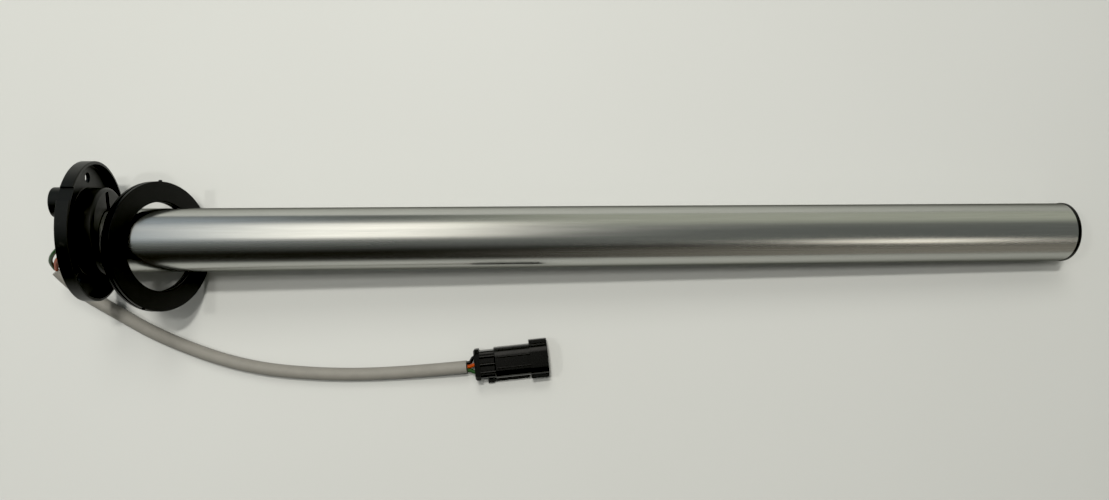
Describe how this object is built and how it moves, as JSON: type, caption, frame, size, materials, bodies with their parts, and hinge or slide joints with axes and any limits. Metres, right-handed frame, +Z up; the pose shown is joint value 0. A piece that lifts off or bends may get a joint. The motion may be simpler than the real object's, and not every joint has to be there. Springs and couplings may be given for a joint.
{
  "type": "fuel sending unit",
  "caption": "Tube-type fuel level sender: round flanged head, long aluminium tube with an inner float, loose rubber gasket, short cable and sealed plug.",
  "frame": {"origin": "on the table under the middle of the sender, its cable and plug left out", "axes": "+X along the tube from the head to the foot, +Z up from the table"},
  "size_m": [0.5538, 0.1204, 0.0707],
  "materials": {
    "head_plastic": "moulded, satin black",
    "tube_aluminium": "drawn and brushed",
    "foot_plastic": "moulded, matte black",
    "seal_rubber": "matte",
    "rod_steel": "ground",
    "board_laminate": "sawn laminate",
    "resistance_alloy": "drawn",
    "lead_insulation": "extruded",
    "contact_bronze": "rolled strip",
    "terminal_brass": "turned",
    "potting_resin": "poured",
    "float_plastic": "moulded",
    "gasket_rubber": "moulded, satin",
    "jacket_vinyl": "extruded, satin grey",
    "wire_green": "extruded",
    "wire_orange": "extruded",
    "wire_black": "extruded",
    "retainer_plastic": "moulded",
    "plug_plastic": "moulded, satin black"
  },
  "bodies": {
    "sender": {"flange_head": "head_plastic", "outer_tube": "tube_aluminium", "foot_cap": "foot_plastic", "tube_seal": "seal_rubber", "guide_rod": "rod_steel", "head_board": "board_laminate", "foot_board": "board_laminate", "gauge_wire": "resistance_alloy", "return_wire": "resistance_alloy", "warning_lead": "lead_insulation", "warning_contact": "contact_bronze", "head_terminals": "terminal_brass", "terminal_potting": "potting_resin", "rod_stop_washer": "rod_steel", "rod_nut": "terminal_brass", "tank_gasket": "gasket_rubber", "cable_jacket": "jacket_vinyl", "head_wire_green": "wire_green", "head_wire_orange": "wire_orange", "head_wire_black": "wire_black", "plug_retainer": "retainer_plastic", "plug_housing": "plug_plastic", "plug_wire_seals": "seal_rubber", "plug_contacts": "contact_bronze", "plug_wire_green": "wire_green", "plug_wire_orange": "wire_orange", "plug_wire_black": "wire_black"},
    "float": {"float_body": "float_plastic", "float_contact_clip": "contact_bronze", "float_contact_disc": "contact_bronze"}
  },
  "joints": [
    {"name": "float_slide", "type": "slide", "parent": "sender", "child": "float", "axis": [-0.9994, 0, 0.0339], "range_m": [0, 0.4497]}
  ]
}
